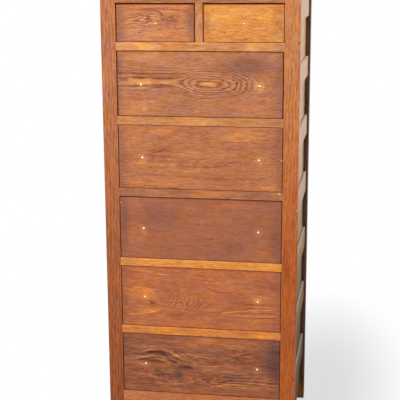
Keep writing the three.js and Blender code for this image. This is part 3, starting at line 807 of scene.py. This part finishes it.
LOOKS["drawer_4_front"] = dict(
    **WIDE_FRONT,
    tones=((190, 119, 83), (170, 103, 72), (127, 75, 56)), spacing=3, ring=0.15,
    streak=0.45, fibre=0.7, blotch=0.35, wave=6,
    pith=((0, 120), (1, 130)), depth=((0, 60), (1, 70)),
    ends=0.4, dirt=(0.1, 0.3, 0.2, 0.6), gap=0.15,
    patches=(
        (-120, 40, 80, 44, MAUVE), (96, -44, 60, 30, MAUVE), (216, -26, 30, 60, MAUVE),
        (-190, 72, 40, 14, ORANGE), (184, -64, 34, 14, ORANGE), (-222, 20, 16, 80, MAUVE),
        (90, 74, 120, 10, ORANGE), (-190, -20, 50, 60, ORANGE),
    ),
    marks=(
        (-5, 15, 4, 3, (84, 38, 16), 0.9), (-192, -36, 3, 2.5, (104, 47, 21), 0.7),
        (32, -27, 5, 2.5, (104, 47, 21), 0.7), (-234, 74, 4, 3, (230, 170, 140), 0.8),
        (10, 29, 12, 1.5, (206, 130, 90), 0.6), (18, -48, 4, 2.5, (104, 47, 21), 0.6),
        (-190, 88, 26, 1.8, (206, 156, 120), 0.6),
    ),
)
LOOKS["drawer_5_front"] = dict(
    **WIDE_FRONT,
    tones=((219, 134, 75), (191, 111, 70), (140, 77, 50)), spacing=6.8, ring=0.42,
    wander=4, ragged=1.9,
    pith=((0, -6), (0.17, -10), (0.3, -2), (0.45, 3), (0.58, 0), (0.68, -30), (0.78, -60), (1, -62)),
    depth=((0, 48), (0.1, 24), (0.17, 20), (0.25, 34), (0.4, 66), (0.6, 96), (0.75, 60), (1, 20)),
    figure=((-34, -18, 100, 28),), ends=0.5, dirt=(0.2, 0.1, 0.2, 0.6), gap=0.15,
    mottle=((-146, -20, 26, 16),),
    patches=(
        (-170, 10, 54, 28, GOLD), (-162, -40, 50, 16, GOLD), (-156, -44, 34, 9, GOLD),
        (-160, 14, 34, 14, ORANGE), (-90, 20, 44, 34, MAUVE), (190, 46, 70, 28, MAUVE),
        (176, 10, 60, 14, GOLD), (160, -11, 60, 5, UMBER), (46, -30, 36, 10, GOLD),
        (-226, -16, 14, 24, MAUVE), (-60, -56, 80, 18, MAUVE), (110, 0, 60, 30, MAUVE),
    ),
    veins=(
        (((-216, 82), (-150, 78), (-110, 71), (-50, 66), (6, 62), (66, 60)), 3, PALE),
        (((-206, 80), (-160, 77), (-120, 71), (-80, 68)), 3.5, BRIGHT),
        (((-226, -57), (-180, -55), (-150, -50), (-126, -42), (-112, -34)), 3, BRIGHT),
        (((-210, 24), (-182, 28), (-156, 22), (-134, 6), (-122, -8)), 4, GOLD),
        (((0, 32), (50, 29), (110, 34), (232, 29)), 2.5, GOLD),
        (((20, 34), (60, 22), (92, 20)), 2, SEPIA),
        (((60, -42), (100, -36), (140, -30), (234, -24)), 2.5, BRIGHT),
        (((96, -49), (170, -46), (236, -44)), 2.5, BRIGHT),
        (((84, -44), (150, -38), (236, -35)), 2, SEPIA), (((80, -53), (150, -52), (236, -50)), 2, SEPIA),
        (((60, -34), (110, -28), (160, -21)), 2, SEPIA),
        (((150, -14), (190, -17), (236, -14)), 2.5, PALE),
        (((110, -38), (170, -35), (236, -31)), 2, PALE), (((-34, -77), (-6, -75), (24, -76)), 4, GOLD),
        (((-210, 62), (-120, 56), (-60, 54)), 3, ORANGE),
    ),
    marks=(
        (-146, -18, 6, 5, (116, 54, 23), 0.7), (-160, -24, 5, 3, (116, 54, 23), 0.6),
        (160, -42, 3, 2.5, (110, 50, 21), 0.7),
    ),
)
LOOKS["drawer_6_front"] = dict(
    **WIDE_FRONT,
    tones=((200, 124, 76), (161, 97, 67), (110, 64, 46)), spacing=7, ring=0.66,
    wander=5, ragged=1.3, streak=1.0, blotch=0.8,
    pith=(
        (0, 14), (0.1, 24), (0.22, 34), (0.3, 28), (0.38, 12), (0.46, -2), (0.6, -6), (0.75, -8),
        (1, -22),
    ),
    depth=((0, 30), (0.3, 26), (0.5, 34), (0.75, 38), (1, 48)),
    figure=((-100, 22, 140, 30), (150, -44, 100, 30)), ends=0.3, dirt=(0.4, 0.2, 0.4, 0.5),
    mottle=((30, -50, 110, 34), (-120, -46, 110, 40), (120, 30, 80, 40)),
    patches=(
        (-128, -30, 30, 20, SLATE), (-66, -30, 24, 24, SLATE), (40, 12, 40, 9, UMBER),
        (-184, -6, 36, 14, GOLD), (-170, -40, 40, 12, ROSE), (-104, -44, 30, 10, ROSE),
        (-32, -42, 38, 20, ROSE), (100, 2, 46, 16, ROSE), (20, -6, 60, 8, ROSE),
        (232, 26, 64, 110, SLATE), (140, 48, 30, 12, UMBER), (104, -32, 90, 9, SLATE),
        (90, 66, 70, 14, ORANGE), (-60, -10, 44, 8, UMBER), (0, 76, 200, 14, ORANGE),
    ),
    veins=(
        (((-226, 52), (-180, 50), (-130, 50), (-100, 41), (-72, 31), (-46, 22), (-24, 16)), 3, BRIGHT),
        (((-216, 35), (-180, 37), (-150, 42), (-118, 44)), 3, BRIGHT),
        (((-176, 30), (-146, 36), (-124, 37), (-107, 27), (-91, 12), (-64, 5)), 6, PLUM),
        (((-204, 15), (-162, 20), (-130, 21), (-112, 14), (-101, 3), (-84, -2)), 6, OLIVE),
        (((-194, 9), (-152, 10), (-130, 8), (-114, -2)), 6, PLUM),
        (((-92, 32), (-66, 24), (-44, 18), (-24, 8), (-6, 3)), 7, OLIVE),
        (((-90, 8), (-50, 5), (-20, 0), (40, 0), (70, 6)), 3, BRIGHT),
        (((-96, 38), (-50, 32), (0, 28), (50, 27), (110, 32)), 2.5, BRIGHT),
        (((-70, -7), (-40, -6), (-20, -12)), 4, PLUM),
        (((-226, -66), (-150, -61), (-96, -66), (-50, -59), (0, -51), (60, -54), (130, -50)), 3, BRIGHT),
        (((-34, -80), (0, -73), (60, -62), (120, -54), (170, -54), (232, -66)), 3, BRIGHT),
        (((0, -14), (60, -14), (120, -20), (150, -20)), 3, BRIGHT),
        (((-226, -22), (-196, -24), (-172, -18)), 3, PLUM),
    ),
)
INSIDE = dict(coat=0, ring=0.3, gap=0)
BARE = dict(**INSIDE, gloss=0.62, tones=((222, 190, 142), (196, 158, 110), (150, 112, 74)))
DUSTY = dict(**INSIDE, gloss=0.66, tones=((200, 166, 120), (168, 132, 90), (122, 90, 60)))
BACK = dict(grain="Z", boards=(5, 2.5))


def look_of(node):
    """The look of a board: its own, or that of the bare wood inside the drawers and the case."""
    if node in LOOKS:
        return {**OAK, **LOOKS[node]}
    if node.startswith("drawer"):
        grain = "Y" if "_side_" in node else "flat" if node.endswith("_bottom") else "X"
        return {**OAK, **BARE, "grain": grain}
    if node == "back_panel":
        return {**OAK, **DUSTY, **BACK}
    return {**OAK, **DUSTY, "grain": "Y" if node == "center_guide" else "flat"}


def set_material(target, material):
    target.data.materials.clear()
    target.data.materials.append(material)


def dress_nodes():
    for seed, node in enumerate(sorted(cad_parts), start=1):
        look = look_of(node)
        low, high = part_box(node)
        low.y += look["proud"] * MM
        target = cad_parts[node]
        set_material(target, oak(f"oak_{node}", low, high, seed, look))
        ease_arrises(target)


ARRIS_WIDTH = 0.5 * MM
ARRIS_ANGLE = math.radians(35)  # edges sharper than this are eased
SAME_POINT = 0.01 * MM
FLAT_ANGLE = math.radians(0.5)


def ease_arrises(target):
    """Rounds a board's arrises a little, so that they catch the light."""
    weld = target.modifiers.new("weld", "WELD")
    weld.merge_threshold = SAME_POINT
    flat = target.modifiers.new("flat", "DECIMATE")
    flat.decimate_type = "DISSOLVE"
    flat.angle_limit = FLAT_ANGLE
    bevel = target.modifiers.new("arrises", "BEVEL")
    bevel.width = ARRIS_WIDTH
    bevel.segments = 2
    bevel.limit_method = "ANGLE"
    bevel.angle_limit = ARRIS_ANGLE


# Brass knob screws
SMALL_DRAWERS = ["drawer_1_left", "drawer_1_right"]
DRAWERS = [*SMALL_DRAWERS, *(f"drawer_{i}" for i in range(2, 7))]
BRIGHT_TONES = ((248, 216, 174), (238, 196, 144), (186, 138, 84))
WORN_TONES = ((230, 180, 130), (214, 160, 108), (172, 120, 76))
TARNISH_WAVES = (260, 260, 260)  # per metre
SCRATCH_WAVES = (900, 200, 2600)
TARNISH_STOPS = (0.3, 0.6, 0.9)  # where the three tones lie on the tarnish's noise
TARNISH_DULLS, SCRATCHES_DULL, BRASS_ROUGHNESS = 0.2, 0.1, 0.32
BRASS_RELIEF = (0.2, 0.1 * MM)  # strength and depth

STUD = (3.7 * MM, 1.6 * MM, 0.5 * MM)  # radius, rise of the dome and height of the rim below it
STUD_SIDES, HEAD_SIDES = 32, 24
STUD_SUNK = 1.5 * MM  # behind the foremost point of the front's solid
HEAD = (5.2 * MM, 1.4 * MM, 1.2 * MM)
HEAD_SUNK = 1.3 * MM  # below the highest point of the solid's own head
SLOT_WIDTH, SLOT_DEPTH, SLOT_LENGTH = 1.2 * MM, 1.3 * MM, 50 * MM
SAME_SCREW, SAME_HEIGHT = 1 * MM, 0.05 * MM  # for points of one screw's end


def brass_material(name, tones):
    """Brass with tarnish in large spots and fine scratches across."""
    material, g = new_material(name)
    place = g.node("ShaderNodeTexCoord").outputs["Object"]
    tarnish = g.noise(place, TARNISH_WAVES, 3, 0.6)
    scratch = g.noise(place, SCRATCH_WAVES, 2)
    dull = g.total(g.times(tarnish, TARNISH_DULLS), g.times(scratch, SCRATCHES_DULL))
    shader = g.node("ShaderNodeBsdfPrincipled", {
        "Base Color": g.ramp(tarnish, TARNISH_STOPS, tones),
        "Metallic": 1.0,
        "Roughness": g.total(dull, BRASS_ROUGHNESS),
    })
    finish_surface(g, shader, scratch, *BRASS_RELIEF)
    return material


def screw_places(front):
    """Where the screws' domed ends stand on a drawer front: the foremost points of its mesh."""
    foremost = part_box(front)[0].y
    found = []
    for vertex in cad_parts[front].data.vertices:
        place = Vector((vertex.co.x, foremost, vertex.co.z))
        fresh = all((place - other).length > SAME_SCREW for other in found)
        if vertex.co.y < foremost + SAME_HEIGHT and fresh:
            found.append(place)
    return sorted(found, key=lambda place: place.x)


def lathe(name, profile, sides):
    """A body turned about -Y from points (radius, height), with its first and last on the axis."""
    shape = bmesh.new()
    rings = []
    for radius, height in profile:
        angles = [2 * math.pi * i / sides for i in range(sides if radius > 0 else 1)]
        places = [(radius * math.cos(a), -height, radius * math.sin(a)) for a in angles]
        rings.append([shape.verts.new(place) for place in places])
    for inner, outer in zip(rings, rings[1:]):
        for i in range(sides):
            loop = [inner[i % len(inner)], outer[i % len(outer)]]
            loop += [outer[(i + 1) % len(outer)], inner[(i + 1) % len(inner)]]
            corners = list(dict.fromkeys(loop))
            if len(corners) > 2:
                shape.faces.new(corners)
    bmesh.ops.recalc_face_normals(shape, faces=shape.faces)
    turned = add_solid(name, shape)
    shade(turned, smooth=True)
    return turned


def dome(radius, rise, rim, steps=8):
    """Profile of a domed end: a spherical cap on a short straight rim, closed behind."""
    sphere = (radius * radius + rise * rise) / (2 * rise)
    cap = []
    for i in range(steps + 1):
        r = radius * i / steps
        cap.append((r, rise - sphere + math.sqrt(sphere * sphere - r * r)))
    return [*cap, (radius, -rim), (0, -rim)]


def cut_slot(head):
    """Cuts the driver's slot across a screw head, down from its top."""
    top = min(vertex.co.y for vertex in head.data.vertices)
    shape = bmesh.new()
    bmesh.ops.create_cube(shape, size=1)
    bmesh.ops.scale(shape, vec=(SLOT_LENGTH, 2 * SLOT_DEPTH, SLOT_WIDTH), verts=shape.verts)
    bmesh.ops.translate(shape, vec=(0, top, 0), verts=shape.verts)
    cutter = add_solid("cutter", shape)
    cut = head.modifiers.new("slot", "BOOLEAN")
    cut.operation = "DIFFERENCE"
    cut.object = cutter
    bpy.context.view_layer.update()
    graph = bpy.context.evaluated_depsgraph_get()
    head.data = bpy.data.meshes.new_from_object(head.evaluated_get(graph))
    head.modifiers.clear()
    bpy.data.objects.remove(cutter)
    shade(head, smooth=False)


def seat(piece, place, drawer, brass):
    piece.location = place
    set_material(piece, brass)
    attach(piece, drawer)


def make_screws():
    """Each screw's domed end on a drawer front, and its slotted head behind it."""
    brass = brass_material("brass", BRIGHT_TONES)
    worn_brass = brass_material("worn_brass", WORN_TONES)
    for drawer in DRAWERS:
        front = f"{drawer}_front"
        head_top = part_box(front)[1].y
        places = screw_places(front)
        for number, place in enumerate(places, start=1):
            end = "" if len(places) == 1 else f"_{number}"
            stud = lathe(f"{drawer}_stud{end}", dome(*STUD), STUD_SIDES)
            skin = worn_brass if drawer in SMALL_DRAWERS else brass
            seat(stud, place + Vector((0, STUD_SUNK, 0)), drawer, skin)
            head = lathe(f"{drawer}_screw_head{end}", dome(*HEAD), HEAD_SIDES)
            cut_slot(head)
            head.rotation_euler = (0, 0, math.pi)
            seat(head, Vector((place.x, head_top - HEAD_SUNK, place.z)), drawer, brass)


# Stage
FLOOR_HALF = 8.0
PAPER_TONE = 0.5
PAPER_SPECKS = 0.02  # how far specks lift that tone
PAPER_WAVES = (60, 60, 60)  # per metre
PAPER_RED, PAPER_GREEN = 0.985, 0.995  # beside blue
SHADE_MIDDLE = (0.32, 0.30)  # the floor keeps its shadows round this place, beside the chest
SHADE_RADII = (0.39, 1.15)
SHADE_FADES = (0.1, 1.1)  # in shares of those radii
SHADE_GLOW = 0.60  # how white the floor glows in the middle of the shade
MIRROR_FADES = (1.5, 4.4)  # how far away the floor looks white in mirrored light
AMBIENT_TONE = (1.0, 0.985, 0.965, 1)
AMBIENT_STRENGTH = 0.15
WHITE = (1, 1, 1, 1)

# Lamps: place, what they point at, side of the square in metres, watts and the angle of spread
LAMPS = {
    "key": ((-1.2, -2.8, 2.9), (0, 0, 0.9), 1.7, 100, 180),
    "fill": ((2.0, -2.8, 1.6), (0, 0, 0.9), 1.4, 20, 180),
    "overhead": ((0, -0.9, 3.4), (0, 0, 1.0), 2.0, 12, 180),
    "side": ((2.6, 0.8, 2.4), (0.27, 0, 1.5), 1.2, 14, 70),
    "behind": ((-0.4, 3.4, 1.6), (0, 0, 0.9), 1.2, 13, 60),
}


def rays(g, *kinds):
    """1 for rays of any of these kinds."""
    path = g.node("ShaderNodeLightPath")
    return g.most(*(path.outputs[kind] for kind in kinds))


def cover(g, factor, under, over, output="ShaderNodeOutputMaterial"):
    """Shows one shader where the factor is 0 and another over it where the factor is 1."""
    inputs = enumerate((factor, under.outputs[0], over.outputs[0]))
    mixed = g.node("ShaderNodeMixShader", inputs)
    g.node(output, {"Surface": mixed.outputs[0]})


def floor_material():
    """Pale paper that takes shadows beside the chest and looks white to the camera elsewhere."""
    material, g = new_material("floor_paper")
    place = g.node("ShaderNodeNewGeometry").outputs["Position"]
    x, y, _ = g.split(place)
    tone = g.total(g.times(g.noise(place, PAPER_WAVES, 2), PAPER_SPECKS), PAPER_TONE)
    color = g.join(g.times(tone, PAPER_RED), g.times(tone, PAPER_GREEN), tone)
    paper = g.node("ShaderNodeBsdfDiffuse", {"Color": color})
    glow = g.node("ShaderNodeEmission", {"Color": WHITE})
    white = g.smooth(g.away(x, y, SHADE_MIDDLE, SHADE_RADII), *SHADE_FADES, SHADE_GLOW, 1.0)
    seen = g.times(rays(g, "Is Camera Ray"), white)
    white = g.smooth(g.length(x, y), *MIRROR_FADES)
    mirrored = g.times(rays(g, "Is Glossy Ray", "Is Transmission Ray"), white)
    cover(g, g.most(seen, mirrored), paper, glow)
    return material


def make_floor():
    half = FLOOR_HALF
    corners = [(-half, -half, 0), (half, -half, 0), (half, half, 0), (-half, half, 0)]
    mesh = bpy.data.meshes.new("floor")
    mesh.from_pydata(corners, [], [(0, 1, 2, 3)])
    mesh.materials.append(floor_material())
    add_object("floor", mesh)


def make_world():
    """White for what the camera sees, straight or mirrored, and a soft fill light for the rest."""
    world = bpy.data.worlds.new("studio")
    bpy.context.scene.world = world
    world.use_nodes = True
    g = Graph(world.node_tree)
    seen = rays(g, "Is Camera Ray", "Is Glossy Ray", "Is Transmission Ray")
    ambient = g.node("ShaderNodeBackground", {"Color": AMBIENT_TONE, "Strength": AMBIENT_STRENGTH})
    white = g.node("ShaderNodeBackground", {"Color": WHITE})
    cover(g, seen, ambient, white, "ShaderNodeOutputWorld")


def area_light(name, place, target, side, watts, spread):
    data = bpy.data.lights.new(name, "AREA")
    data.shape = "SQUARE"
    data.size = side
    data.energy = watts
    data.spread = math.radians(spread)
    lamp = add_object(name, data)
    lamp.location = place
    lamp.rotation_euler = (Vector(target) - Vector(place)).to_track_quat("-Z", "Y").to_euler()


def make_camera():
    data = bpy.data.cameras.new("camera")
    data.sensor_width = SENSOR
    data.lens = FOCAL_PIXELS * SENSOR / IMAGE_SIZE
    data.clip_start, data.clip_end = CAMERA_CLIP
    camera = add_object("camera", data)
    turn = Matrix.Rotation(math.radians(CAMERA_YAW), 4, "Z")
    turn @= Matrix.Rotation(math.radians(90 - CAMERA_PITCH), 4, "X")
    turn @= Matrix.Rotation(math.radians(CAMERA_ROLL), 4, "Z")
    camera.matrix_world = Matrix.Translation(CAMERA_PLACE) @ turn
    bpy.context.scene.camera = camera


dress_nodes()
make_screws()
make_floor()
make_world()
for name, settings in LAMPS.items():
    area_light(name, *settings)
make_camera()
bpy.context.scene.view_settings.view_transform = "Standard"
